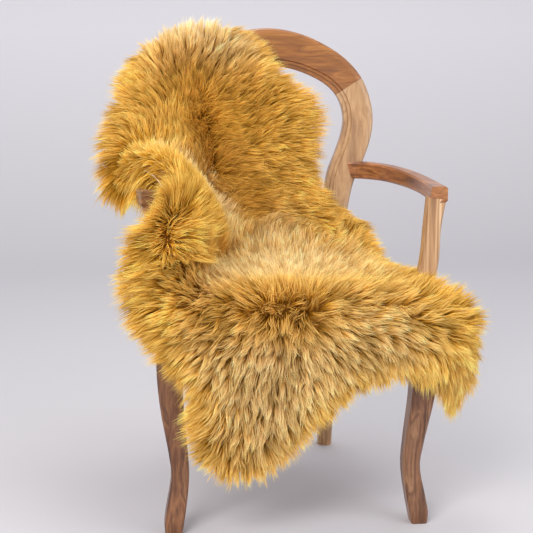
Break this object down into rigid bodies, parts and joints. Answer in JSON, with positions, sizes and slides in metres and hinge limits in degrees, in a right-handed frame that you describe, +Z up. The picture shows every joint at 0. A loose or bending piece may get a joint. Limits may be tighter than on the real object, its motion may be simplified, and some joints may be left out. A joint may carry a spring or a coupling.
{
  "type": "sheepskin rug on a wooden chair",
  "caption": "Long-wool sheepskin rug in golden yellow, hung over the back, seat and one arm of a wooden chair with a balloon back and open arms.",
  "frame": {"origin": "on the floor, under the middle of the box around the chair and its rug", "axes": "+Z up, -Y the way the chair faces, +X towards the chair's bare arm"},
  "size_m": [0.7702, 0.6942, 1.0093],
  "materials": {
    "golden_wool": "dyed long wool, soft and matt, amber at the root and pale gold at the tips",
    "walnut": "clear satin varnish over brown wood with a visible grain"
  },
  "bodies": {
    "root": {"fleece": "golden_wool", "crest_rail": "walnut", "stile_right": "walnut", "stile_left": "walnut", "arm_right": "walnut", "arm_left": "walnut", "arm_post_right": "walnut", "arm_post_left": "walnut", "front_leg_right": "walnut", "front_leg_left": "walnut", "front_rail": "walnut", "back_rail": "walnut", "side_rail_right": "walnut", "side_rail_left": "walnut", "seat_board": "walnut"}
  },
  "joints": []
}
